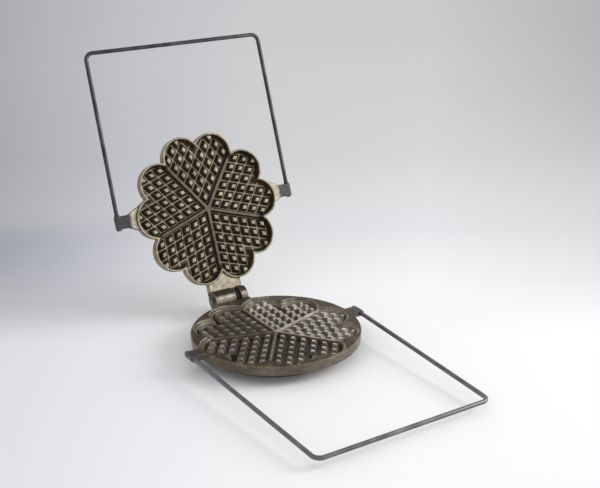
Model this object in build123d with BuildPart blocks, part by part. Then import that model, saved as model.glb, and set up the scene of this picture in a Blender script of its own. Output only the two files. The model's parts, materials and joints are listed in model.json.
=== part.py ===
"""Stovetop heart waffle iron: two cast-iron plates on a pinned hinge, a bent steel rod handle on each.

Millimetres. The origin is the centre of the lower plate's base on the stove top, +Z is up, the hinge
lies to +Y and the handles reach to -Y. The iron is drawn standing open, the upper plate leaning back
on its stop. Whatever belongs to the upper plate is drawn shut and placed by opened(plane).
"""

import os
from math import atan2, cos, degrees, hypot, radians, sin, tan

from build123d import *

# ---------------------------------------------------------------- driving sizes
# plates
FLANGE_RADIUS = 100.0  # round edge of the lower plate
FLANGE_HEIGHT = 12.0
FLANGE_DRAFT = 3.0  # degrees
FLANGE_EDGE_RADIUS = 1.2
RIM_HEIGHT = 25.0  # face of the lower plate above the stove
BASE_RADIUS = 77.0  # foot ring under the lower plate
BASE_RING_WIDTH = 10.0
BASE_EDGE_RADIUS = 1.0
FLOOR_THICKNESS = 6.5  # iron under the lower plate's hearts
BELLY_DEPTH = 4.5  # petal-shaped step under the flange
BELLY_INSET = 3.5
BELLY_DRAFT = 30.0
UPPER_THICKNESS = 12.0  # upper plate from its face to the edge of its back
UPPER_DRAFT = 2.0
CROWN_HEIGHT = 2.0  # raised middle of the upper plate's back
CROWN_INSET = 5.0
CROWN_DRAFT = 50.0

# petals and hearts
HEARTS = 5
PETAL_RADIUS = 97.0  # tip of a petal of the upper plate
DIVIDER_NOTCH_RADIUS = 80.0  # between two hearts
HEART_NOTCH_RADIUS = 84.0  # between the two petals of one heart
SEAT_DEPTH = 2.5  # step in the lower plate that takes the upper plate's rim
SEAT_CLEARANCE = 0.8
SEAT_DRAFT = 4.0
FACE_GAP = 0.3  # left between rim and step when the iron is shut
RIM_WIDTH = 2.2
WALL_DRAFT = 18.0
RIDGE_DEPTH = 3.6  # tops of dividers and studs below a plate's face
HEART_DEPTH = 8.5  # floor of a heart below a plate's face
DIVIDER_TOP_WIDTH = 3.4
DIVIDER_BASE_WIDTH = 6.2
STUD_PITCH = 13.0  # along a divider
STUD_START = 9.3  # first stud's centre from the middle of the plate, along a divider
STUDS_PER_ROW = 6
STUD_ROWS_BESIDE = 3  # rows beyond this number stop at the notch of the heart
STUD_GROOVE = 1.6  # floor left between two studs
STUD_TOP_WIDTH = 4.8
STUD_WALL_GAP = 0.9

# hinge
HINGE_Y = 115.0
HINGE_DROP = 1.5  # axis below the lower plate's face
KNUCKLE_RADIUS = 11.5
HINGE_WIDTH = 45.0
TONGUE_X = 9.0
TONGUE_WIDTH = 7.0
TONGUE_GAP = 0.4  # each side of the tongue
TONGUE_EYE_RADIUS = 9.0
WEB_DROP = 0.6  # top of the hinge's web below the lower plate's face
WEB_ROOT = 10.0  # how far the web runs in under the flange
LEAF_WIDTH = 45.0
LEAF_THICKNESS = 8.5
LEAF_GAP = 0.4  # above the lower plate when shut
LEAF_CLEARANCE = 0.25  # leaf to knuckle
LEAF_SKIRT = 7.0  # how far the back of the leaf runs on over the knuckles
HEEL_HEIGHT = 7.0
STOP_GAP = 0.15
PIN_RADIUS = 3.0
PIN_CLEARANCE = 0.05
PIN_HEAD_RADIUS = 4.0
PIN_HEAD_THICKNESS = 1.2
OPEN_ANGLE = 112.0

# handles
ROD_RADIUS = 2.5
ROD_CLEARANCE = 0.05
ROD_DEPTH = 3.8  # rod's middle below the flat of its lug
LUG_GAP = 0.4  # flat of a lug from the faces' meeting plane
LUG_LENGTH = 16.0
LUG_Y = -4.0
LUG_THICKNESS = 7.6
LUG_ROOT_RADIUS = 88.0
LUG_ROOT_LENGTH = 34.0
LUG_NECK = 13.0  # from the neck to the rod's middle
LUG_EDGE = 4.0  # iron outside the rod's middle
LUG_CORNER_RADIUS = 3.0
ROD_COLLAR_RADIUS = 3.2
ROD_COLLAR_LENGTH = 1.8
ROD_END_LENGTH = 1.2
ROD_END_GAP = 0.3  # collar and peened end to the lug
ROD_END_RADIUS = 3.1
LOWER_ROD_X = 113.4
LOWER_GRIP_X = 107.2
LOWER_HANDLE_REACH = 252.0
LOWER_HANDLE_DROP = 9.5
UPPER_ROD_X = 119.6
UPPER_GRIP_X = 118.3
UPPER_HANDLE_REACH = 209.5
UPPER_HANDLE_DROP = 10.2
GRIP_BEND_RADIUS = 9.0

# ---------------------------------------------------------------- what follows from them
HINGE_Z = RIM_HEIGHT - HINGE_DROP
FLANGE_BOTTOM = RIM_HEIGHT - FLANGE_HEIGHT
LIP = SEAT_DEPTH - FACE_GAP  # how far the shut upper plate's rim enters the lower plate
WALL_RUN = tan(radians(WALL_DRAFT))
HEART_ANGLE = 360 / HEARTS
PETAL_ANGLE = HEART_ANGLE / 2
DIVIDER_ANGLE = 90 - HEART_ANGLE  # counted so that one divider points at the hinge
STUD_HEIGHT = HEART_DEPTH - RIDGE_DEPTH
ROW_SPACING = STUD_PITCH * sin(radians(HEART_ANGLE))
STUD_BASE_WIDTH = ROW_SPACING - STUD_GROOVE
STUD_DRAFT = degrees(atan2((STUD_BASE_WIDTH - STUD_TOP_WIDTH) / 2, STUD_HEIGHT))
TONGUE_LEFT = TONGUE_X - TONGUE_WIDTH / 2
SLOT_WIDTH = TONGUE_WIDTH + 2 * TONGUE_GAP
LEAF_END = HINGE_Y - KNUCKLE_RADIUS - LEAF_CLEARANCE
WEB_FACE = LEAF_END - STOP_GAP
LUG_FRONT = LUG_Y - LUG_LENGTH / 2
LUG_BACK = LUG_Y + LUG_LENGTH / 2


def polar(radius, angle):
    """The point at a radius and an angle in degrees, counted from +X."""
    return Vector(radius * cos(radians(angle)), radius * sin(radians(angle)))


def opened(plane):
    """A plane, given as the shut iron has it, where it is when the upper plate stands open."""
    to_hinge = Location((0, HINGE_Y, HINGE_Z))
    swing = Location((0, 0, 0), (-OPEN_ANGLE, 0, 0))
    return Plane(to_hinge * swing * to_hinge.inverse() * plane.location)


LOWER_FACE = Plane.XY.offset(RIM_HEIGHT)
UPPER_FACE = opened(Plane((0, 0, RIM_HEIGHT - LIP), x_dir=(-1, 0, 0), z_dir=(0, 0, -1)))

# One petal is a round through its two notches and its tip. Its middle lies a little to the side of the
# tip, because the notch inside a heart is shallower than the one beside a divider.
PETAL_ARC = ThreePointArc(
    polar(HEART_NOTCH_RADIUS, -PETAL_ANGLE / 2),
    polar(PETAL_RADIUS, 0),
    polar(DIVIDER_NOTCH_RADIUS, PETAL_ANGLE / 2),
)
PETAL_ROUND = PETAL_ARC.radius
PETAL_REACH = hypot(PETAL_ARC.arc_center.X, PETAL_ARC.arc_center.Y)
PETAL_SKEW = degrees(atan2(PETAL_ARC.arc_center.Y, PETAL_ARC.arc_center.X))
PETAL_CENTRES = [
    polar(PETAL_REACH, petal * PETAL_ANGLE + (-PETAL_SKEW if petal % 2 else PETAL_SKEW))
    for petal in range(2 * HEARTS)
]


# ---------------------------------------------------------------- shapes that both plates share
def petal_block(face, grow, depth, draft, mode=Mode.ADD):
    """The ten-petalled block under a face: one tapered round for each petal, and the core between them."""
    radius = PETAL_ROUND + grow
    with Locations(face):
        with Locations(*PETAL_CENTRES):
            Cone(
                radius - depth * tan(radians(draft)),
                radius,
                depth,
                align=(Align.CENTER, Align.CENTER, Align.MAX),
                mode=mode,
            )
    with BuildSketch(face) as core:
        Polygon(*PETAL_CENTRES, align=None)
    extrude(core.sketch, amount=-depth, mode=mode)


def sink_hearts(face, seat_depth):
    """Sinks the bowl below a seat, and leaves the dividers and the studs standing in it."""
    depth = HEART_DEPTH - seat_depth
    petal_block(face.offset(-seat_depth), -RIM_WIDTH, depth, WALL_DRAFT, Mode.SUBTRACT)
    divider_draft = degrees(atan2((DIVIDER_BASE_WIDTH - DIVIDER_TOP_WIDTH) / 2, STUD_HEIGHT))
    with BuildSketch(face.offset(-HEART_DEPTH)) as dividers:
        with PolarLocations(0, HEARTS, start_angle=DIVIDER_ANGLE):
            Rectangle(DIVIDER_NOTCH_RADIUS, DIVIDER_BASE_WIDTH, align=(Align.MIN, Align.CENTER))
    extrude(dividers.sketch, amount=STUD_HEIGHT, taper=divider_draft)
    with Locations(face.offset(-HEART_DEPTH)):
        add(studs.part)


def lug(rod_x, flat, thickness):
    """The right-hand lug of a shut plate, from the flat that faces the other plate."""
    outside = rod_x + LUG_EDGE
    neck = rod_x - LUG_NECK
    with BuildPart() as block:
        with BuildSketch(Plane.XY.offset(flat)):
            Polygon(
                (LUG_ROOT_RADIUS, LUG_Y - LUG_ROOT_LENGTH / 2),
                (neck, LUG_FRONT),
                (neck + LUG_CORNER_RADIUS, LUG_FRONT),
                (neck + LUG_CORNER_RADIUS, LUG_BACK),
                (neck, LUG_BACK),
                (LUG_ROOT_RADIUS, LUG_Y + LUG_ROOT_LENGTH / 2),
                align=None,
            )
        extrude(amount=thickness)
        with BuildSketch(Plane.XZ.offset(-LUG_BACK)) as section:
            Polygon(
                (neck, flat),
                (outside, flat),
                (outside, flat + thickness),
                (neck, flat + thickness),
                align=None,
            )
            fillet(section.vertices().group_by(Axis.X)[-1], LUG_CORNER_RADIUS)
        extrude(amount=LUG_LENGTH)
    return block.part


def rod_line(rod_x, grip_x, reach, drop, height):
    """Where a handle's rod runs on the right-hand side: its end behind the lug, and its far corner."""
    mouth = Vector(rod_x, LUG_FRONT, height)
    corner = Vector(grip_x, -reach, height - drop)
    back = ROD_END_LENGTH + ROD_END_GAP + LUG_LENGTH
    return mouth + (mouth - corner).normalized() * back, corner


def bore_lugs(frame, end, corner):
    """Bores both lugs of a plate for its rod."""
    for side in (1, -1):
        start = Vector(end.X * side, end.Y, end.Z)
        heading = Vector(corner.X * side, corner.Y, corner.Z) - start
        mouth = Plane(frame.from_local_coords(start), z_dir=frame.from_local_coords(heading) - frame.origin)
        with BuildSketch(mouth) as hole:
            Circle(ROD_RADIUS + ROD_CLEARANCE)
        extrude(hole.sketch, amount=2 * LUG_LENGTH, mode=Mode.SUBTRACT)


def bend_handle(frame, end, corner):
    """The bent rod of one handle, with a collar before each lug and a peened end behind it."""
    left_end, left_corner = (Vector(-point.X, point.Y, point.Z) for point in (end, corner))
    stops = [frame.from_local_coords(point) for point in (left_end, left_corner, corner, end)]
    with BuildLine() as run:
        FilletPolyline(*stops, radius=GRIP_BEND_RADIUS)
    for place in (0, 1):
        away = run.line % place if place == 0 else -(run.line % place)
        start = run.line @ place
        with BuildSketch(Plane(start, z_dir=away)) as peened:
            Circle(ROD_END_RADIUS)
        extrude(peened.sketch, amount=ROD_END_LENGTH)
        past_lug = ROD_END_LENGTH + LUG_LENGTH + 2 * ROD_END_GAP
        with BuildSketch(Plane(start + away * past_lug, z_dir=away)) as collar:
            Circle(ROD_COLLAR_RADIUS)
        extrude(collar.sketch, amount=ROD_COLLAR_LENGTH)
    with BuildSketch(Plane(run.line @ 0, z_dir=run.line % 0)) as section:
        Circle(ROD_RADIUS)
    sweep(section.sketch, path=run.line)


# The hearts' inside, less a gap along the wall.
with BuildPart() as stud_room:
    petal_block(
        Plane.XY.offset(STUD_HEIGHT),
        -RIM_WIDTH - RIDGE_DEPTH * WALL_RUN - STUD_WALL_GAP,
        STUD_HEIGHT,
        WALL_DRAFT,
    )

# A lattice of studs fills each heart, with its rows along the two dividers beside it.
with BuildPart() as studs:
    along, across = polar(1, 0), polar(1, HEART_ANGLE)
    half_side = STUD_BASE_WIDTH / sin(radians(HEART_ANGLE)) / 2
    corners = [(1, 1), (-1, 1), (-1, -1), (1, -1)]
    with BuildSketch():
        for row in range(STUDS_PER_ROW):
            for column in range(STUDS_PER_ROW):
                if min(row, column) >= STUD_ROWS_BESIDE:
                    continue
                middle = (along + across) * STUD_START + (along * column + across * row) * STUD_PITCH
                with PolarLocations(0, HEARTS, start_angle=DIVIDER_ANGLE):
                    Polygon(
                        *[middle + (along * u + across * v) * half_side for u, v in corners],
                        align=None,
                    )
    extrude(amount=STUD_HEIGHT, taper=STUD_DRAFT)
    add(stud_room.part, mode=Mode.INTERSECT)

# ---------------------------------------------------------------- pieces
SHUT = Plane.XY
OPEN = opened(Plane.XY)
LOWER_FLAT = RIM_HEIGHT - LUG_GAP
UPPER_FLAT = RIM_HEIGHT + LUG_GAP
LOWER_ROD = rod_line(
    LOWER_ROD_X, LOWER_GRIP_X, LOWER_HANDLE_REACH, LOWER_HANDLE_DROP, LOWER_FLAT - ROD_DEPTH
)
UPPER_ROD = rod_line(
    UPPER_ROD_X, UPPER_GRIP_X, UPPER_HANDLE_REACH, UPPER_HANDLE_DROP, UPPER_FLAT + ROD_DEPTH
)

# Lower plate: round flange and foot ring, the petal-shaped belly, the knuckles and two lugs.
with BuildPart() as lower_plate:
    ring_inside = BASE_RADIUS - BASE_RING_WIDTH
    ceiling = RIM_HEIGHT - HEART_DEPTH - FLOOR_THICKNESS
    flange_foot = FLANGE_RADIUS - FLANGE_HEIGHT * tan(radians(FLANGE_DRAFT))
    with BuildSketch(Plane.XZ) as half:
        with BuildLine():
            Polyline(
                (0, ceiling),
                (ring_inside - BASE_EDGE_RADIUS, ceiling),
                (ring_inside, 0),
                (BASE_RADIUS, 0),
                (BASE_RADIUS + BASE_EDGE_RADIUS, ceiling - BELLY_INSET),
                (flange_foot - 2 * BELLY_INSET, FLANGE_BOTTOM),
                (flange_foot, FLANGE_BOTTOM),
                (FLANGE_RADIUS, RIM_HEIGHT),
                (0, RIM_HEIGHT),
                close=True,
            )
        make_face()
        rounded = half.vertices().filter_by_position(Axis.X, ring_inside, BASE_RADIUS)
        fillet(rounded.group_by(Axis.Y)[0], BASE_EDGE_RADIUS)
        fillet(half.vertices().group_by(Axis.X)[-1], FLANGE_EDGE_RADIUS)
    revolve(axis=Axis.Z)
    petal_block(Plane.XY.offset(FLANGE_BOTTOM), -BELLY_INSET, BELLY_DEPTH, BELLY_DRAFT)

    with BuildSketch(Plane.YZ.offset(-HINGE_WIDTH / 2)):
        web_root = FLANGE_RADIUS - WEB_ROOT
        with Locations((HINGE_Y, HINGE_Z)):
            Circle(KNUCKLE_RADIUS)
        Polygon(
            (web_root, HINGE_Z - KNUCKLE_RADIUS),
            (HINGE_Y, HINGE_Z - KNUCKLE_RADIUS),
            (HINGE_Y, RIM_HEIGHT - WEB_DROP),
            (web_root, RIM_HEIGHT - WEB_DROP),
            align=None,
        )
    extrude(amount=HINGE_WIDTH)
    with BuildSketch(Plane.YZ.offset(TONGUE_X - SLOT_WIDTH / 2)):
        with Locations((WEB_FACE, HINGE_Z)):
            Rectangle(3 * KNUCKLE_RADIUS, 3 * KNUCKLE_RADIUS, align=(Align.MIN, Align.CENTER))
    extrude(amount=SLOT_WIDTH, mode=Mode.SUBTRACT)
    with BuildSketch(Plane.YZ.offset(-HINGE_WIDTH)):
        with Locations((HINGE_Y, HINGE_Z)):
            Circle(PIN_RADIUS + PIN_CLEARANCE)
    extrude(amount=2 * HINGE_WIDTH, mode=Mode.SUBTRACT)

    lower_lug = lug(LOWER_ROD_X, LOWER_FLAT, -LUG_THICKNESS)
    add(lower_lug)
    add(lower_lug.mirror(Plane.YZ))
    bore_lugs(SHUT, *LOWER_ROD)

    petal_block(LOWER_FACE, SEAT_CLEARANCE, SEAT_DEPTH, SEAT_DRAFT, Mode.SUBTRACT)
    sink_hearts(LOWER_FACE, SEAT_DEPTH)

# Upper plate: petal-shaped all through, its rim standing proud of the leaf and of the lugs.
with BuildPart() as upper_plate:
    petal_block(UPPER_FACE, 0, UPPER_THICKNESS, UPPER_DRAFT)
    petal_block(UPPER_FACE.offset(-UPPER_THICKNESS), -CROWN_INSET, CROWN_HEIGHT, CROWN_DRAFT)

    leaf_bottom = RIM_HEIGHT + LEAF_GAP
    leaf_top = leaf_bottom + LEAF_THICKNESS
    with BuildSketch(opened(Plane.XY.offset(leaf_bottom))):
        with Locations((0, LEAF_END + LEAF_SKIRT)):
            Rectangle(LEAF_WIDTH, LEAF_END + LEAF_SKIRT - PETAL_REACH, align=(Align.CENTER, Align.MAX))
    extrude(amount=LEAF_THICKNESS)
    with BuildSketch(opened(Plane.YZ.offset(-HINGE_WIDTH))):
        with Locations((HINGE_Y, HINGE_Z)):
            Circle(KNUCKLE_RADIUS + LEAF_CLEARANCE)
    extrude(amount=2 * HINGE_WIDTH, mode=Mode.SUBTRACT)
    with BuildSketch(opened(Plane.YZ.offset(TONGUE_LEFT))):
        with Locations((HINGE_Y, HINGE_Z)):
            Circle(TONGUE_EYE_RADIUS)
        Polygon(
            (LEAF_END - TONGUE_EYE_RADIUS, leaf_bottom),
            (LEAF_END - TONGUE_EYE_RADIUS, leaf_top),
            (HINGE_Y - TONGUE_EYE_RADIUS, leaf_top),
            (HINGE_Y + TONGUE_EYE_RADIUS * cos(radians(45)), HINGE_Z + TONGUE_EYE_RADIUS * sin(radians(45))),
            (HINGE_Y, HINGE_Z),
            (HINGE_Y - TONGUE_EYE_RADIUS, HINGE_Z),
            (LEAF_END, leaf_bottom),
            align=None,
        )
    extrude(amount=TONGUE_WIDTH)
    # The heel meets the web between the knuckles and stops the plate.
    with BuildSketch(Plane.YZ.offset(TONGUE_LEFT)):
        with Locations((LEAF_END, HINGE_Z - TONGUE_EYE_RADIUS)):
            Rectangle(HINGE_Y - LEAF_END, HEEL_HEIGHT, align=Align.MIN)
    extrude(amount=TONGUE_WIDTH)
    with BuildSketch(Plane.YZ.offset(-HINGE_WIDTH)):
        with Locations((HINGE_Y, HINGE_Z)):
            Circle(PIN_RADIUS + PIN_CLEARANCE)
    extrude(amount=2 * HINGE_WIDTH, mode=Mode.SUBTRACT)

    upper_lug = lug(UPPER_ROD_X, UPPER_FLAT, LUG_THICKNESS)
    with Locations(OPEN):
        add(upper_lug)
        add(upper_lug.mirror(Plane.YZ))
    bore_lugs(OPEN, *UPPER_ROD)

    sink_hearts(UPPER_FACE, 0)

with BuildPart() as lower_handle:
    bend_handle(SHUT, *LOWER_ROD)

with BuildPart() as upper_handle:
    bend_handle(OPEN, *UPPER_ROD)

# The pin is a length of rod, peened over at both ends.
with BuildPart() as hinge_pin:
    pin_length = HINGE_WIDTH + 2 * ROD_END_GAP
    with BuildSketch(Plane.YZ.offset(-pin_length / 2)):
        with Locations((HINGE_Y, HINGE_Z)):
            Circle(PIN_RADIUS)
    extrude(amount=pin_length)
    for side in (1, -1):
        with BuildSketch(Plane.YZ.offset(side * pin_length / 2)):
            with Locations((HINGE_Y, HINGE_Z)):
                Circle(PIN_HEAD_RADIUS)
        extrude(amount=side * PIN_HEAD_THICKNESS)
    rims = hinge_pin.edges().filter_by(GeomType.CIRCLE).group_by(Axis.X)
    fillet([*rims[0], *rims[-1]], PIN_HEAD_THICKNESS / 2)

# ---------------------------------------------------------------- files
os.makedirs("parts", exist_ok=True)

lower_plate.part.label = "lower_plate"
export_step(lower_plate.part, "parts/lower_plate.step")

upper_plate.part.label = "upper_plate"
export_step(upper_plate.part, "parts/upper_plate.step")

lower_handle.part.label = "lower_handle"
export_step(lower_handle.part, "parts/lower_handle.step")

upper_handle.part.label = "upper_handle"
export_step(upper_handle.part, "parts/upper_handle.step")

hinge_pin.part.label = "hinge_pin"
export_step(hinge_pin.part, "parts/hinge_pin.step")
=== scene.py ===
# %% [markdown]
# # A stovetop heart waffle iron
#
# The real thing is two iron castings on a pinned hinge, and a bent steel rod on each for a handle. It
# stands open on a pale table. The frame gives the exact shapes, and this lesson gives them what a casting
# and a bent rod have and a drawing hasn't: softened edges, sand-cast skin, wear and a little rust.

# %% Load the frame
import json
from math import radians, tan

import bpy
from mathutils import Matrix, Vector


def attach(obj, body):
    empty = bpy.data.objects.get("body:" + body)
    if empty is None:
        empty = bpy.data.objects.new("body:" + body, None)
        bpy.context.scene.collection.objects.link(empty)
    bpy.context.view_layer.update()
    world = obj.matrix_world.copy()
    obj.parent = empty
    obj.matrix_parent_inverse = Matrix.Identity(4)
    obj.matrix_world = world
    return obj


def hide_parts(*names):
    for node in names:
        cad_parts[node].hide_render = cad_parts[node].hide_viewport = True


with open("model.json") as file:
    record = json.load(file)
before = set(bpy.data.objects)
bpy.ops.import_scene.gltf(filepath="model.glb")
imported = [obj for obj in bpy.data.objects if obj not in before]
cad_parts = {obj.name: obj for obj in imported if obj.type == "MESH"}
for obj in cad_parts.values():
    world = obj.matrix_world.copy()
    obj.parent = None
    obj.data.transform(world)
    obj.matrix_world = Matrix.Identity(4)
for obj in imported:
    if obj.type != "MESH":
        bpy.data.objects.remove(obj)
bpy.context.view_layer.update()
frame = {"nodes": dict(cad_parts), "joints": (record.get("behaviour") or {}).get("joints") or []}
MM = 0.001
print("nodes", sorted(frame["nodes"]))

# %% [markdown]
# ## The two poses of the upper plate
#
# It's easier to think about the upper plate shut, lying flat on the lower one. So its pieces are made shut
# and then swung open about the hinge, whose place the frame gives. The same swing, the other way round,
# lets a pattern lie square to the plate.

# %% Hinge and swing
hinge = next(joint for joint in frame["joints"] if joint["name"] == "plate_hinge")
HINGE = Vector(hinge["pos_m"])
OPEN_ANGLE = radians(hinge["range_deg"][1])
SHUT = Matrix.Identity(4)
OPEN = Matrix.Translation(HINGE) @ Matrix.Rotation(-OPEN_ANGLE, 4, "X") @ Matrix.Translation(-HINGE)
RIM_HEIGHT = 25 * MM  # face of the lower plate above the table
UPPER_FACE = 22.8 * MM  # face of the upper plate when shut, inside the lower one's seat
HEART_DEPTH = 8.5 * MM  # floor of a heart below a face; studs and dividers stop at 0.42 of it
FLANGE_RADIUS = 100 * MM
LUG_START = 104 * MM  # from the middle of a plate to where a lug goes grey
print("hinge at", tuple(HINGE), "opens", round(OPEN_ANGLE, 3))

# %% [markdown]
# ## Camera and light
#
# The camera is a long lens about a metre away, a little above the table and to the left, so that the loops
# of both handles show. The light is that of a small light tent: most of it comes evenly from all round. A
# wide lamp on the right gives the soft shadow on the left, and a broad weak light low at the back gives the
# faint one in front.

# %% Camera
CAMERA_PLACE = Vector((-0.5960, -1.0126, 0.5598))
CAMERA_TARGET = Vector((-0.0666, -0.1630, 0.1933))
CAMERA_ROLL = radians(-0.9)
CAMERA_LENS = 65.9  # in mm, in front of a sensor that is SENSOR_WIDTH mm wide
SENSOR_WIDTH = 36

bpy.ops.object.camera_add(location=CAMERA_PLACE)
camera = bpy.context.object
camera.name = "camera"
camera.data.sensor_width = SENSOR_WIDTH
camera.data.lens = CAMERA_LENS
aim = (CAMERA_TARGET - CAMERA_PLACE).to_track_quat("-Z", "Y").to_matrix().to_4x4()
camera.matrix_world = Matrix.Translation(CAMERA_PLACE) @ aim @ Matrix.Rotation(CAMERA_ROLL, 4, "Z")
bpy.context.scene.camera = camera
print("camera", round((CAMERA_TARGET - CAMERA_PLACE).length, 3), "m from its target")

# %% Lamps
SOFTBOX_PLACE = Vector((1.19, -0.70, 0.68))
SOFTBOX_TARGET = Vector((0, 0, 0.1))
SOFTBOX_SIZE = 0.7
SOFTBOX_WATTS = 13
BACK_LIGHT_WAY = Vector((-0.29, -0.94, -0.31))  # the way its light goes
BACK_LIGHT_SPREAD = radians(28)
BACK_LIGHT_STRENGTH = 0.15

bpy.ops.object.light_add(type="AREA", location=SOFTBOX_PLACE)
softbox = bpy.context.object
softbox.name = "right_softbox"
softbox.data.shape = "SQUARE"
softbox.data.size = SOFTBOX_SIZE
softbox.data.energy = SOFTBOX_WATTS
softbox.rotation_euler = (SOFTBOX_TARGET - SOFTBOX_PLACE).to_track_quat("-Z", "Y").to_euler()

bpy.ops.object.light_add(type="SUN", location=-BACK_LIGHT_WAY)
back_light = bpy.context.object
back_light.name = "back_light"
back_light.data.energy = BACK_LIGHT_STRENGTH
back_light.data.angle = BACK_LIGHT_SPREAD
back_light.rotation_euler = BACK_LIGHT_WAY.to_track_quat("-Z", "Y").to_euler()
bpy.context.scene.view_settings.view_transform = "Standard"
print("lamps", softbox.name, back_light.name)

# %% [markdown]
# ## Colours and nodes
#
# Colours are written as anyone reads them off a screen, in sRGB hex, and one function turns them linear.
# One more function adds a shader node with its settings and its links.


# %% Helpers for materials
def linear(hex_colour):
    """An sRGB hex colour as linear red, green, blue and alpha."""
    channels = [int(hex_colour[i : i + 2], 16) / 255 for i in (1, 3, 5)]
    return [c / 12.92 if c <= 0.04045 else ((c + 0.055) / 1.055) ** 2.4 for c in channels] + [1]


def add_node(tree, kind, inputs=None, stops=(), **settings):
    """Adds one shader node: inputs get values or links, and a ramp its (place, hex colour) stops."""
    node = tree.nodes.new("ShaderNode" + kind)
    for name, value in settings.items():
        setattr(node, name, value)
    for socket, value in (inputs or {}).items():
        if isinstance(value, bpy.types.NodeSocket):
            tree.links.new(value, node.inputs[socket])
        else:
            node.inputs[socket].default_value = value
    for _ in stops[2:]:
        node.color_ramp.elements.new(1)
    for number, (place, colour) in enumerate(stops):
        node.color_ramp.elements[number].position = place
        node.color_ramp.elements[number].color = linear(colour)
    return node


def new_material(name):
    """An empty node material's tree and its main shader, and the material."""
    material = bpy.data.materials.new(name)
    material.use_nodes = True
    tree = material.node_tree
    return material, tree, tree.nodes["Principled BSDF"]


# %% [markdown]
# ## Table and surroundings
#
# The table is one wide pale sheet of paper that fills the view, so no horizon shows. Its colour carries
# painted light: it's near white around the iron, and further off, and to both sides, it goes a cool grey,
# painted where the light of the tent falls away. On the left, just behind the iron, a painted shadow makes
# one band of it dimmer still. Its colour therefore follows two distances, counted away from the camera and
# to the side of it, and the bearing that the two make.

# %% Table
TABLE_SIZE = 24.0
SIDEWAYS = (0.85, -0.53, 0)  # to the right as the camera sees it
AWAY = (0.53, 0.85, 0)  # away from the camera
EYE_SIDE = -0.03  # what to add to count from under the camera
EYE_AWAY = 1.18
FADE_START, FADE_END = -0.3, 3.1  # away, in metres, for the ramp by distance
BEARING_LIMIT = 0.3  # sideways for each metre away, for the ramp by bearing
NEAR_SHARE = 0.3  # of the ramp by bearing, in front of the iron
NEAR_END, BEYOND_START = 0.02, 0.2
BEHIND_EYE, BEFORE_EYE = -0.9, -0.55  # the ramp by bearing ends here, before it turns over
BAND_AWAY = 0.34
BAND_CORE, BAND_EDGE = 0.02, 0.17
BAND_RIGHT, BAND_LEFT = -0.14, -0.42

bpy.ops.object.select_all(action="DESELECT")
bpy.ops.mesh.primitive_plane_add(size=TABLE_SIZE)
table = bpy.context.object
table.name = "table_top"

paper, tree, shader = new_material("pale_table_paper")
place = add_node(tree, "TexCoord").outputs["Object"]
away = add_node(tree, "VectorMath", {0: place, 1: AWAY}, operation="DOT_PRODUCT").outputs["Value"]
side = add_node(tree, "VectorMath", {0: place, 1: SIDEWAYS}, operation="DOT_PRODUCT").outputs["Value"]

# %% Table, painted falloff of light by distance
by_distance = [
    (0.0, "#fbfbfb"),
    (0.14, "#f4f4f4"),
    (0.21, "#e3e3e4"),
    (0.33, "#dcdcdc"),
    (0.6, "#e4e4e4"),
]
fade = {"Value": away, "From Min": FADE_START, "From Max": FADE_END}
far = add_node(tree, "MapRange", fade).outputs["Result"]
sheet = add_node(tree, "ValToRGB", {"Fac": far}, stops=by_distance).outputs["Color"]

# %% Table, painted falloff of light by bearing
by_bearing = [
    (0.0, "#d2d2d6"),
    (0.25, "#f2f2f5"),
    (0.42, "#ffffff"),
    (0.7, "#ffffff"),
    (1.0, "#e2e2e2"),
]
from_eye = add_node(tree, "Math", {0: side, 1: EYE_SIDE}, operation="ADD").outputs[0]
reach = add_node(tree, "Math", {0: away, 1: EYE_AWAY}, operation="ADD").outputs[0]
bearing = add_node(tree, "Math", {0: from_eye, 1: reach}, operation="DIVIDE").outputs[0]
spread = {"Value": bearing, "From Min": -BEARING_LIMIT, "From Max": BEARING_LIMIT}
turned = add_node(tree, "MapRange", spread).outputs["Result"]
beside = add_node(tree, "ValToRGB", {"Fac": turned}, stops=by_bearing).outputs["Color"]
beyond = {"Value": away, "From Min": NEAR_END, "From Max": BEYOND_START, "To Min": NEAR_SHARE}
much = add_node(tree, "MapRange", beyond).outputs["Result"]
ahead = {"Value": away, "From Min": BEHIND_EYE, "From Max": BEFORE_EYE}
in_front = add_node(tree, "MapRange", ahead).outputs["Result"]
much = add_node(tree, "Math", {0: much, 1: in_front}, operation="MULTIPLY").outputs[0]

# %% Table, painted shadow band on the left
leftward = {"Value": side, "From Min": BAND_RIGHT, "From Max": BAND_LEFT}
to_left = add_node(tree, "MapRange", leftward, interpolation_type="SMOOTHSTEP").outputs["Result"]
off_band = add_node(tree, "Math", {0: away, 1: BAND_AWAY}, operation="SUBTRACT").outputs[0]
off_band = add_node(tree, "Math", {0: off_band}, operation="ABSOLUTE").outputs[0]
within = {"Value": off_band, "From Min": BAND_EDGE, "From Max": BAND_CORE}
in_band = add_node(tree, "MapRange", within, interpolation_type="SMOOTHSTEP").outputs["Result"]
# painted shadow: a band of the table on the left, just behind the iron, is made dimmer
painted_shadow_band = add_node(tree, "Math", {0: to_left, 1: in_band}, operation="MULTIPLY").outputs[0]
for share, tint in ((much, beside), (painted_shadow_band, linear("#e8eaf2"))):
    tinted = {0: share, 6: sheet, 7: tint}
    sheet = add_node(tree, "Mix", tinted, data_type="RGBA", blend_type="MULTIPLY").outputs[2]
tree.links.new(sheet, shader.inputs["Base Color"])
shader.inputs["Roughness"].default_value = 0.95
shader.inputs["Specular IOR Level"].default_value = 0.0
table.data.materials.append(paper)
print("table", TABLE_SIZE, "m wide")

# %% Surroundings
TENT_COLOUR = "#fbfcff"
TENT_STRENGTH = 0.76
world = bpy.data.worlds.new("tent")
bpy.context.scene.world = world
world.use_nodes = True
sky = world.node_tree.nodes["Background"]
sky.inputs["Color"].default_value = linear(TENT_COLOUR)
sky.inputs["Strength"].default_value = TENT_STRENGTH
print("world", world.name, TENT_STRENGTH)
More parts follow.
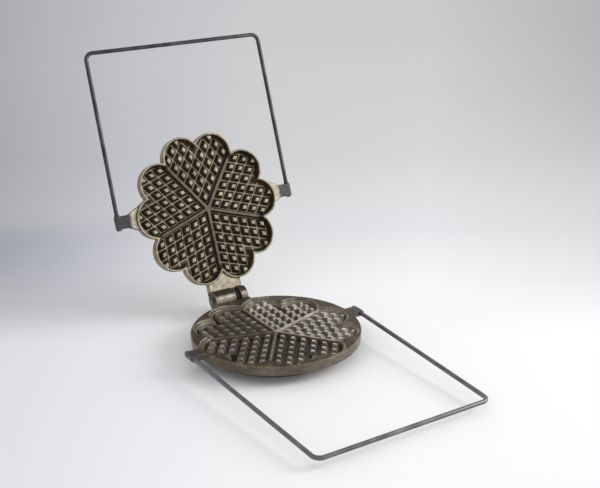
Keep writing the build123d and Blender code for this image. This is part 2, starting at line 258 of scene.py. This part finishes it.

# %% [markdown]
# ## Cast iron
#
# Both plates are grey iron cast in sand, then seasoned: oil baked on until it turns brown-black. Oil gathers
# on the walls between the studs, and heat and scraping keep the flat places worn down to the iron: the rims,
# the tops of the studs and the floor of the grooves. These flat places are also painted pale, as a painted
# reflection of the bright light that faces turned that way catch, most of all on the upper plate. So the
# colour follows two things: how squarely a place faces the same way as the plate, and how deep it lies below
# the plate's face. The skin of a sand casting is grainy, with grains of about half a millimetre. Here
# they're drawn three times as big so that they show.

# %% Sizes that the finish follows
SAND_GRAIN = 1.5 * MM
CASTING_LUMP = 7 * MM
OIL_STAIN = 26 * MM
DIVIDER_ANGLE = radians(18)
HEART_ANGLE = radians(72)
DIVIDER_HALF = 3.0 * MM
DIVIDER_END = 79 * MM
FIRST_GROOVE = 2.66 * MM  # from a divider's middle to the first groove beside it
GROOVE_SPACING = 12.36 * MM
STUDS_START_FADE, STUDS_END = 68 * MM, 78 * MM  # from the middle of a plate
HINGE_START, HINGE_SURE = 104 * MM, 106 * MM
RAGGEDNESS = 6 * MM  # of the line where a lug goes grey
RUST_HEIGHT = RIM_HEIGHT - MM


# %% Places on a plate
def plate_places(tree, swing, face, side):
    """Where a place is on a plate whose face, when shut, looks along side (+1 or -1 in Z)."""
    back = swing.inverted()
    spot = add_node(tree, "TexCoord").outputs
    turned = {"Vector": spot["Object"], "Location": back.translation, "Rotation": back.to_euler()}
    flat = add_node(tree, "Mapping", turned).outputs["Vector"]
    shut = add_node(tree, "SeparateXYZ", {"Vector": flat}).outputs
    outline = add_node(tree, "VectorMath", {0: flat, 1: (1, 1, 0)}, operation="MULTIPLY").outputs[0]
    sunk = {"Value": shut["Z"], "From Min": face, "From Max": face - side * HEART_DEPTH}
    seen = {0: spot["Normal"], 1: swing.to_3x3() @ Vector((0, 0, side))}
    return {
        "spot": spot["Object"],
        "normal": add_node(tree, "SeparateXYZ", {"Vector": spot["Normal"]}).outputs,
        "shut": shut,
        "radius": add_node(tree, "VectorMath", {0: outline}, operation="LENGTH").outputs["Value"],
        "depth": add_node(tree, "MapRange", sunk).outputs["Result"],
        "facing": add_node(tree, "VectorMath", seen, operation="DOT_PRODUCT").outputs["Value"],
    }


# %% [markdown]
# ## Dividers, grooves and hearts
#
# Five dividers split a plate into hearts, and the grooves of a heart run beside its two dividers, evenly
# spaced. A place's angle, wrapped into one heart, and its radius give its distance from both dividers, and
# those distances, wrapped into one spacing, give how far it is from the nearest groove.


# %% Dividers and grooves
def heart_lines(tree, place):
    """The turn of a place from the first divider, and its distances from a divider and a groove."""
    shut = place["shut"]
    angle = add_node(tree, "Math", {0: shut["Y"], 1: shut["X"]}, operation="ARCTAN2").outputs[0]
    turn = add_node(tree, "Math", {0: angle, 1: DIVIDER_ANGLE}, operation="SUBTRACT").outputs[0]
    onward = add_node(tree, "Math", {0: turn, 1: HEART_ANGLE, 2: 0.0}, operation="WRAP").outputs[0]
    back_to = add_node(tree, "Math", {0: HEART_ANGLE, 1: onward}, operation="SUBTRACT").outputs[0]
    half = GROOVE_SPACING / 2
    apart, astray = [], []
    for opening in (onward, back_to):
        lean = add_node(tree, "Math", {0: opening}, operation="SINE").outputs[0]
        across = add_node(tree, "Math", {0: lean, 1: place["radius"]}, operation="MULTIPLY").outputs[0]
        past = add_node(tree, "Math", {0: across, 1: FIRST_GROOVE}, operation="SUBTRACT").outputs[0]
        strip = add_node(tree, "Math", {0: past, 1: half, 2: -half}, operation="WRAP").outputs[0]
        apart.append(across)
        astray.append(add_node(tree, "Math", {0: strip}, operation="ABSOLUTE").outputs[0])
    off_divider = add_node(tree, "Math", {0: apart[0], 1: apart[1]}, operation="MINIMUM").outputs[0]
    off_groove = add_node(tree, "Math", {0: astray[0], 1: astray[1]}, operation="MINIMUM").outputs[0]
    return turn, off_divider, off_groove


# %% [markdown]
# ## Masks
#
# A mask is 1 on one feature and 0 off it. Most of them come from one number, such as a depth or a distance,
# that eases from 0 to 1 between two limits. So they stand in one list, and the rest are made from those.


# %% Masks
def plate_masks(tree, place, lump):
    """The masks of a plate's features, by name."""
    shut, depth, radius, normal = place["shut"], place["depth"], place["radius"], place["normal"]
    turn, off_divider, off_groove = heart_lines(tree, place)
    both_ways = {0: turn, 1: radians(180), 2: -radians(180)}
    bearing = add_node(tree, "Math", both_ways, operation="WRAP").outputs[0]
    aside = add_node(tree, "Math", {0: bearing}, operation="ABSOLUTE").outputs[0]
    sideways = add_node(tree, "Math", {0: shut["X"]}, operation="ABSOLUTE").outputs[0]
    wavering = {0: lump, 1: RAGGEDNESS, 2: sideways}
    ragged = add_node(tree, "Math", wavering, operation="MULTIPLY_ADD").outputs[0]
    endways = add_node(tree, "Math", {0: normal["X"]}, operation="ABSOLUTE").outputs[0]
    off_edge = add_node(tree, "Math", {0: radius, 1: FLANGE_RADIUS}, operation="SUBTRACT").outputs[0]
    off_edge = add_node(tree, "Math", {0: off_edge}, operation="ABSOLUTE").outputs[0]
    off_top = add_node(tree, "Math", {0: shut["Z"], 1: RUST_HEIGHT}, operation="SUBTRACT").outputs[0]
    off_top = add_node(tree, "Math", {0: off_top}, operation="ABSOLUTE").outputs[0]
    at_rim = {"Value": depth, "From Min": 0.1, "From Max": 0.2, "To Min": 0.25, "To Max": 0}
    on_rim = add_node(tree, "MapRange", at_rim).outputs["Result"]
    eased = add_node(tree, "Math", {0: place["facing"], 1: on_rim}, operation="ADD").outputs[0]
    mask = {"on_rim": on_rim}

    # Each row: a mask, what it follows, where it's 0, where it's 1, and how it eases between them.
    for name, value, none, full, easing in (
        ("beside_groove", off_groove, 0.8 * MM, 1.5 * MM, "LINEAR"),
        ("groove_deep", depth, 0.62, 0.75, "LINEAR"),
        ("divider_line", off_divider, DIVIDER_HALF, 0.8 * DIVIDER_HALF, "LINEAR"),
        ("divider_reach", radius, DIVIDER_END, DIVIDER_END - 2 * MM, "LINEAR"),
        ("flat", eased, 0.84, 0.985, "SMOOTHSTEP"),
        ("inward", radius, STUDS_END, STUDS_START_FADE, "LINEAR"),
        ("low", depth, 0.3, 0.45, "LINEAR"),
        ("sunken", depth, 0.45, 0.95, "LINEAR"),
        # three hearts, away from the first divider, that get a painted dark reflection
        ("painted_dark_heart_turn", aside, HEART_ANGLE - radians(2), HEART_ANGLE + radians(3), "SMOOTHSTEP"),
        ("outside", place["facing"], 0.22, 0.06, "SMOOTHSTEP"),
        ("lug", ragged, LUG_START + 2 * MM, LUG_START + 5 * MM, "LINEAR"),
        ("hinge", shut["Y"], HINGE_START, HINGE_SURE, "LINEAR"),
        ("upward", normal["Z"], 0.55, 0.8, "LINEAR"),
        ("endward", endways, 0.6, 0.9, "LINEAR"),
        ("flange_edge", off_edge, 1.6 * MM, 0.8 * MM, "LINEAR"),
        ("flange_top", off_top, 1.3 * MM, 0.9 * MM, "LINEAR"),
        ("patches", lump, 0.2, 0.45, "LINEAR"),
    ):
        limits = {"Value": value, "From Min": none, "From Max": full}
        mask[name] = add_node(tree, "MapRange", limits, interpolation_type=easing).outputs["Result"]

    # Each row: a mask, and the two masks that it's made from.
    for name, first, operation, second in (
        # painted shade at the foot of the walls, beside each groove's thin light line
        ("painted_groove_foot_shade", "beside_groove", "MULTIPLY", "groove_deep"),
        ("divider", "divider_line", "MULTIPLY", "divider_reach"),
        ("among_studs", "inward", "MULTIPLY", "low"),
        ("among_studs", "among_studs", "SUBTRACT", "divider"),
        # three hearts get a painted dark reflection, deeper in their hollows and on their dividers
        ("painted_dark_hearts", "painted_dark_heart_turn", "MULTIPLY", "low"),
        ("painted_dark_hearts_deep", "sunken", "MAXIMUM", "divider"),
        ("painted_dark_hearts_deep", "painted_dark_hearts_deep", "MULTIPLY", "painted_dark_hearts"),
        # the tops and ends of the knuckles, which get the darker tone
        ("top_and_ends", "upward", "MAXIMUM", "endward"),
        ("rust", "flange_edge", "MULTIPLY", "flange_top"),
        ("rust", "rust", "MULTIPLY", "patches"),
    ):
        pair = {0: mask[first], 1: mask[second]}
        mask[name] = add_node(tree, "Math", pair, operation=operation).outputs[0]
    return mask


# %% [markdown]
# ## Layers of colour
#
# The colour is laid down in layers: worn iron by its depth, partly a painted reflection, then the oiled
# walls, painted shade at the foot of the walls beside each groove line, three hearts painted darker as a
# painted dark reflection, the outside, the lugs that the hob has turned grey, the knuckles with a painted
# highlight on the lower plate and painted shade on the upper one, the rust on the flange, and over all of it
# blotches, an oil film, the sand grain and edges that rubbing keeps bright.


# %% Cast iron finish
def cast_iron(name, swing, face, side, tones, shine, bareness):
    """Seasoned cast iron for a plate whose face, when shut, looks along side (+1 or -1 in Z)."""
    material, tree, shader = new_material(name)
    place = plate_places(tree, swing, face, side)
    noises = []
    for size, detail in ((CASTING_LUMP, 3), (OIL_STAIN, 5), (SAND_GRAIN, 2)):
        drawn = {"Vector": place["spot"], "Scale": 1 / size, "Detail": detail}
        noises.append(add_node(tree, "TexNoise", drawn).outputs["Fac"])
    lump, stain, grain = noises
    mask = plate_masks(tree, place, lump)
    tone = {part: linear(colour) for part, colour in tones.items()}
    # the flat places by depth: worn iron, and a painted reflection of the bright light that makes them pale
    by_depth = [
        (0.08, tones["rim"]),
        (0.2, tones["step"]),
        (0.34, tones["step"]),
        (0.38, tones["stud"]),
        (0.6, tones["stud"]),
        (0.8, tones["groove"]),
    ]
    bare_and_painted_reflection = add_node(tree, "ValToRGB", {"Fac": place["depth"]}, stops=by_depth).outputs["Color"]
    blotch = add_node(tree, "ValToRGB", {"Fac": lump}, stops=[(0.32, "#938b80"), (0.62, "#ffffff")])
    film = add_node(tree, "ValToRGB", {"Fac": stain}, stops=[(0.35, "#b5a892"), (0.62, "#ffffff")])
    sand = add_node(tree, "ValToRGB", {"Fac": grain}, stops=[(0.25, "#b0b0b0"), (0.7, "#ffffff")])
    sharp = add_node(tree, "NewGeometry").outputs["Pointiness"]
    rubbing = {"Value": sharp, "From Min": 0.54, "From Max": 0.62, "To Max": 0.6}
    rubbed = add_node(tree, "MapRange", rubbing).outputs["Result"]

    oiled = {0: mask["among_studs"], 6: tone["lip"], 7: tone["wall"]}
    walls = add_node(tree, "Mix", oiled, data_type="RGBA", clamp_factor=True).outputs[2]
    # painted light on the knuckles: on the lower plate a painted highlight in front, darker on the top and
    # ends; on the upper plate painted shade in the slot
    knuckle_light_and_dark = {0: mask["top_and_ends"], 6: tone["knuckle"], 7: tone["knuckle_top_dark"]}
    knuckles = add_node(tree, "Mix", knuckle_light_and_dark, data_type="RGBA").outputs[2]
    # painted shade at the foot of the walls, so that only a thin line along each groove stays light
    for share, laid in ((mask["painted_groove_foot_shade"], tone["wall"]), (mask["divider"], tone["divider"])):
        bare_and_painted_reflection = add_node(tree, "Mix", {0: share, 6: bare_and_painted_reflection, 7: laid}, data_type="RGBA").outputs[2]
    # painted reflection: the flat places take the pale tones by depth, the walls take the wall tones
    colour = add_node(tree, "Mix", {0: mask["flat"], 6: walls, 7: bare_and_painted_reflection}, data_type="RGBA").outputs[2]
    for share, laid, blend in (
        # painted dark reflection on three hearts of the lower plate, deeper in their hollows and on their
        # dividers
        (mask["painted_dark_hearts"], tone["painted_dark_hearts_tone"], "MULTIPLY"),
        (mask["painted_dark_hearts_deep"], tone["painted_dark_hearts_deep"], "MULTIPLY"),
        (mask["outside"], tone["outside"], "MIX"),
        (mask["lug"], tone["lug"], "MIX"),
        (mask["hinge"], knuckles, "MIX"),
        (mask["rust"], tone["rust"], "MIX"),
        (0.6, blotch.outputs[0], "MULTIPLY"),
        (0.7, film.outputs[0], "MULTIPLY"),
        (0.6, sand.outputs[0], "MULTIPLY"),
        (rubbed, tone["worn"], "MIX"),
    ):
        layer = {0: share, 6: colour, 7: laid}
        colour = add_node(tree, "Mix", layer, data_type="RGBA", blend_type=blend).outputs[2]
    tree.links.new(colour, shader.inputs["Base Color"])

    polish = {"Value": stain, "From Min": 0.3, "From Max": 0.7, "To Min": shine, "To Max": shine + 0.15}
    gloss = add_node(tree, "MapRange", polish).outputs["Result"]
    gloss = add_node(tree, "Math", {0: gloss, 1: mask["on_rim"]}, operation="ADD").outputs[0]
    tree.links.new(gloss, shader.inputs["Roughness"])
    metal = {"Value": mask["flat"], "To Min": 0.1, "To Max": bareness}
    tree.links.new(add_node(tree, "MapRange", metal).outputs["Result"], shader.inputs["Metallic"])
    skin = add_node(tree, "Bump", {"Height": grain, "Strength": 0.45, "Distance": 0.2 * MM})
    lumps = {"Height": lump, "Normal": skin.outputs["Normal"], "Strength": 0.4, "Distance": 0.5 * MM}
    tree.links.new(add_node(tree, "Bump", lumps).outputs["Normal"], shader.inputs["Normal"])
    return material


# %% Tones of the two plates
# Lower plate: the near-white stud and divider tones are worn iron with a painted reflection of the bright
# surroundings, the light lip is partly a painted highlight, and the near-white tone of the knuckles is a
# painted highlight.
LOWER_TONES = {
    "rim": "#6d6353",
    "step": "#857d6e",
    "divider": "#f2ebdc",
    "stud": "#f4eddf",
    "groove": "#7b7467",
    "lip": "#a39b8b",
    "wall": "#6c6557",
    "outside": "#776d5c",
    "lug": "#777578",
    # painted highlight on the front of the knuckles, and darker on their top and ends
    "knuckle": "#fffaf0",
    "knuckle_top_dark": "#5a5340",
    "rust": "#8f7e62",
    "worn": "#b5ad9a",
    # painted dark reflection on three hearts, and deeper in their hollows
    "painted_dark_hearts_tone": "#e4ded4",
    "painted_dark_hearts_deep": "#a79e91",
}
# Upper plate: the pale rim, step, stud, groove and outside tones are mostly a painted reflection of the
# bright light; the dark walls are the iron's own colour.
UPPER_TONES = {
    "rim": "#d6ccb2",
    "step": "#e0d6c0",
    "divider": "#7b6e57",
    "stud": "#c7bda6",
    "groove": "#b9ab89",
    "lip": "#3f321d",
    "wall": "#392e1a",
    "outside": "#b3a791",
    "lug": "#505052",
    # painted shade in the slot between the lower knuckles
    "knuckle": "#2a251c",
    "knuckle_top_dark": "#1f1b14",
    "rust": "#a08a66",
    "worn": "#d3c9b0",
    "painted_dark_hearts_tone": "#ffffff",
    "painted_dark_hearts_deep": "#ffffff",
}
lower_iron = cast_iron("seasoned_cast_iron_lower", SHUT, RIM_HEIGHT, 1, LOWER_TONES, 0.26, 0.8)
upper_iron = cast_iron("seasoned_cast_iron_upper", OPEN, UPPER_FACE, -1, UPPER_TONES, 0.42, 0.3)
print("iron", lower_iron.name, upper_iron.name)

# %% [markdown]
# ## From a drawn solid to a casting
#
# A frame solid has knife-sharp edges. A casting has none: sand and hot iron round every edge and fill every
# inside corner a little. A voxel remesh of a merged copy, smoothed and then roughened by a soft noise, gives
# just that, on all the edges at once. A bevel would have to cope with hundreds of trimmed studs. The
# remesh makes far more faces than the flat parts need, so a decimate takes them out again.

# %% Casting helper
VOXEL = 0.62 * MM
SMOOTHING_PASSES = 3
SKIN_RELIEF = 0.22 * MM
FACE_SHARE = 0.36
MERGE_DISTANCE = 0.005 * MM


def edit_only(piece):
    """Makes a piece the one selected object."""
    bpy.ops.object.select_all(action="DESELECT")
    piece.select_set(True)
    bpy.context.view_layer.objects.active = piece


def apply_modifier(piece, kind, **settings):
    """Adds a modifier to the active piece with its settings, and applies it."""
    modifier = piece.modifiers.new(kind.lower(), kind)
    for name, value in settings.items():
        setattr(modifier, name, value)
    bpy.ops.object.modifier_apply(modifier=modifier.name)


def casting(name, node, body, material):
    """A softened, sand-skinned copy of a frame node, which then stands for it."""
    piece = bpy.data.objects.new(name, frame["nodes"][node].data.copy())
    bpy.context.scene.collection.objects.link(piece)
    piece.data.name = name
    edit_only(piece)
    bpy.ops.object.mode_set(mode="EDIT")
    bpy.ops.mesh.select_all(action="SELECT")
    bpy.ops.mesh.remove_doubles(threshold=MERGE_DISTANCE)
    bpy.ops.object.mode_set(mode="OBJECT")
    voxel = VOXEL
    apply_modifier(piece, "REMESH", mode="VOXEL", voxel_size=voxel, use_smooth_shade=True)
    apply_modifier(piece, "SMOOTH", factor=0.5, iterations=SMOOTHING_PASSES)
    skin = bpy.data.textures.new(name + "_skin", "CLOUDS")
    skin.noise_scale = CASTING_LUMP
    apply_modifier(piece, "DISPLACE", texture=skin, strength=SKIN_RELIEF, mid_level=0.5)
    apply_modifier(piece, "DECIMATE", ratio=FACE_SHARE)
    bpy.ops.object.shade_smooth()
    piece.data.materials.clear()
    piece.data.materials.append(material)
    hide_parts(node)
    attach(piece, body)
    print(name, len(piece.data.polygons), "faces")
    return piece


# %% Lower plate
lower_casting = casting("lower_casting", "lower_plate", "lower", lower_iron)

# %% Upper plate
upper_casting = casting("upper_casting", "upper_plate", "upper", upper_iron)

# %% [markdown]
# ## Steel rod
#
# The handles and the pin are plain drawn steel rod, gone dark and dull from heat. Drawing leaves faint
# lines, but after years by a flame the rod only shows soft patches of lighter and darker grey. The upper
# handle gets a darker copy of the same finish, as painted shade.

# %% Steel finish
HEAT_PATCH = 18 * MM
SCALE_GRAIN = 0.9 * MM  # the real scale is about a quarter of this, and too fine to show
SCALE_SHARE = 0.5
STEEL_METALLIC = 0.85


def dark_steel(name, dark, light):
    """Heat-darkened drawn steel."""
    material, tree, shader = new_material(name)
    spot = add_node(tree, "TexCoord").outputs["Object"]
    noises = []
    for size, detail in ((HEAT_PATCH, 4), (SCALE_GRAIN, 2)):
        drawn = {"Vector": spot, "Scale": 1 / size, "Detail": detail}
        noises.append(add_node(tree, "TexNoise", drawn).outputs["Fac"])
    patch, grain = noises
    heat = add_node(tree, "ValToRGB", {"Fac": patch}, stops=[(0.35, dark), (0.68, light)])
    scale = add_node(tree, "ValToRGB", {"Fac": grain}, stops=[(0.3, "#b4b4b4"), (0.7, "#ffffff")])
    layer = {0: SCALE_SHARE, 6: heat.outputs[0], 7: scale.outputs[0]}
    colour = add_node(tree, "Mix", layer, data_type="RGBA", blend_type="MULTIPLY")
    tree.links.new(colour.outputs[2], shader.inputs["Base Color"])
    shine = add_node(tree, "MapRange", {"Value": grain, "To Min": 0.3, "To Max": 0.5})
    tree.links.new(shine.outputs["Result"], shader.inputs["Roughness"])
    shader.inputs["Metallic"].default_value = STEEL_METALLIC
    skin = add_node(tree, "Bump", {"Height": grain, "Strength": 0.3, "Distance": 0.1 * MM})
    tree.links.new(skin.outputs["Normal"], shader.inputs["Normal"])
    return material


lower_steel = dark_steel("heat_darkened_steel_rod", "#6b6a6d", "#868588")
# painted shade: a darker copy of the same steel for the upper handle
upper_steel = dark_steel("shaded_copy_steel_rod", "#3e3d40", "#5a595c")
pin_steel = dark_steel("heat_darkened_steel_pin", "#5f5a54", "#8b857c")
print("steel", lower_steel.name, upper_steel.name, pin_steel.name)

# %% [markdown]
# ## Handles
#
# Each handle is one rod, cut to length and bent twice over a former. It's made here the same way: a circle
# is drawn out, spun round the middle of a bend, and drawn out again. In front of each lug the rod is upset
# into a collar, and its far end is hammered over, so that it can't pull out.

# %% Rod sizes
ROD_RADIUS = 2.5 * MM
BEND_RADIUS = 9 * MM
LUG_LENGTH = 16 * MM
END_LENGTH = 1.2 * MM
END_RADIUS = 3.1 * MM
END_GAP = 0.3 * MM
COLLAR_LENGTH = 1.8 * MM
COLLAR_RADIUS = 3.2 * MM
LOWER_MOUTH = Vector((113.4, -12, 20.8)) * MM
LOWER_CORNER = Vector((107.2, -252, 11.3)) * MM
UPPER_MOUTH = Vector((119.6, -12, 29.2)) * MM
UPPER_CORNER = Vector((118.3, -209.5, 19.0)) * MM
ROD_SIDES = 24
BEND_STEPS = 10
FACET_ANGLE = radians(40)  # edges flatter than this are shaded smooth
DISC_FACET_ANGLE = radians(60)


# %% Bent rod
def mirrored(point):
    """The same point on the left-hand side."""
    return Vector((-point.x, point.y, point.z))


def bent_rod(name, stops, radius, bend):
    """A round rod through the stops, with a bend of one radius at each inner stop."""
    heading = (stops[1] - stops[0]).normalized()
    facing = heading.to_track_quat("Z", "Y").to_euler()
    bpy.ops.object.select_all(action="DESELECT")
    bpy.ops.mesh.primitive_circle_add(
        vertices=ROD_SIDES, radius=radius, fill_type="NGON", location=stops[0], rotation=facing
    )
    rod = bpy.context.object
    rod.name = name
    rod.data.name = name
    bpy.ops.object.transform_apply(location=True, rotation=True, scale=True)
    bpy.ops.object.mode_set(mode="EDIT")
    bpy.ops.mesh.select_all(action="SELECT")
    here = stops[0]
    for before, corner, after in zip(stops, stops[1:], stops[2:]):
        arriving = (corner - before).normalized()
        leaving = (after - corner).normalized()
        turn = arriving.angle(leaving)
        setback = bend * tan(turn / 2)
        bend_start = corner - arriving * setback
        bpy.ops.mesh.extrude_region_move(TRANSFORM_OT_translate={"value": bend_start - here})
        axis = arriving.cross(leaving).normalized()
        middle = bend_start + axis.cross(arriving) * bend
        bpy.ops.mesh.spin(steps=BEND_STEPS, angle=turn, center=middle, axis=-axis)
        here = corner + leaving * setback
    bpy.ops.mesh.extrude_region_move(TRANSFORM_OT_translate={"value": stops[-1] - here})
    bpy.ops.mesh.select_all(action="SELECT")
    bpy.ops.mesh.remove_doubles(threshold=MERGE_DISTANCE)
    bpy.ops.mesh.normals_make_consistent(inside=False)
    bpy.ops.object.mode_set(mode="OBJECT")
    bpy.ops.object.shade_smooth_by_angle(angle=FACET_ANGLE)
    return rod


# %% Collars and hammered ends
ROUNDING_SHARE = 0.22  # of a disc's length, along its edges


def upset_disc(name, start, heading, length, radius):
    """A short disc round a rod, with rounded edges, as a hammer leaves it."""
    facing = heading.to_track_quat("Z", "Y").to_euler()
    bpy.ops.object.select_all(action="DESELECT")
    middle = start + heading * length / 2
    bpy.ops.mesh.primitive_cylinder_add(
        vertices=ROD_SIDES, radius=radius, depth=length, location=middle, rotation=facing
    )
    disc = bpy.context.object
    disc.name = name
    disc.data.name = name
    bpy.ops.object.transform_apply(location=True, rotation=True, scale=True)
    rounding = {"width": length * ROUNDING_SHARE, "segments": 3, "angle_limit": radians(50)}
    apply_modifier(disc, "BEVEL", limit_method="ANGLE", **rounding)
    bpy.ops.object.shade_smooth_by_angle(angle=DISC_FACET_ANGLE)
    return disc


def handle(name, node, body, mouth, corner, swing, steel):
    """The rod of one handle with its collars and hammered ends, as one piece."""
    along = (mouth - corner).normalized()
    end = mouth + along * (LUG_LENGTH + END_GAP + END_LENGTH)
    stops = [mirrored(end), mirrored(corner), corner, end]
    rod = bent_rod(name, stops, ROD_RADIUS, BEND_RADIUS)
    discs = []
    for tail, heading in ((end, along), (mirrored(end), mirrored(along))):
        discs.append(upset_disc("end", tail - heading * END_LENGTH, heading, END_LENGTH, END_RADIUS))
        front = tail - heading * (END_LENGTH + LUG_LENGTH + 2 * END_GAP)
        discs.append(upset_disc("collar", front, -heading, COLLAR_LENGTH, COLLAR_RADIUS))
    edit_only(rod)
    for disc in discs:
        disc.select_set(True)
    bpy.ops.object.join()
    rod.matrix_world = swing
    bpy.ops.object.transform_apply(location=True, rotation=True, scale=True)
    rod.data.materials.clear()
    rod.data.materials.append(steel)
    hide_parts(node)
    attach(rod, body)
    print(name, len(rod.data.polygons), "faces")


handle("lower_rod", "lower_handle", "lower", LOWER_MOUTH, LOWER_CORNER, SHUT, lower_steel)
handle("upper_rod", "upper_handle", "upper", UPPER_MOUTH, UPPER_CORNER, OPEN, upper_steel)

# %% [markdown]
# ## Hinge pin
#
# A short length of thicker rod goes through the knuckles and the tongue between them. Both of its ends are
# hammered over into low domes.

# %% Hinge pin
PIN_RADIUS = 3 * MM
PIN_LENGTH = 45.6 * MM
PIN_HEAD_RADIUS = 4 * MM
PIN_HEAD_LENGTH = 1.2 * MM
HALF_PIN = Vector((PIN_LENGTH / 2, 0, 0))

pin = bent_rod("hinge_pin_rod", [HINGE - HALF_PIN, HINGE + HALF_PIN], PIN_RADIUS, BEND_RADIUS)
heads = []
for half in (HALF_PIN, -HALF_PIN):
    heads.append(upset_disc("head", HINGE + half, half.normalized(), PIN_HEAD_LENGTH, PIN_HEAD_RADIUS))
edit_only(pin)
for head in heads:
    head.select_set(True)
bpy.ops.object.join()
pin.data.materials.clear()
pin.data.materials.append(pin_steel)
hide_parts("hinge_pin")
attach(pin, "lower")
print("pin", len(pin.data.polygons), "faces")
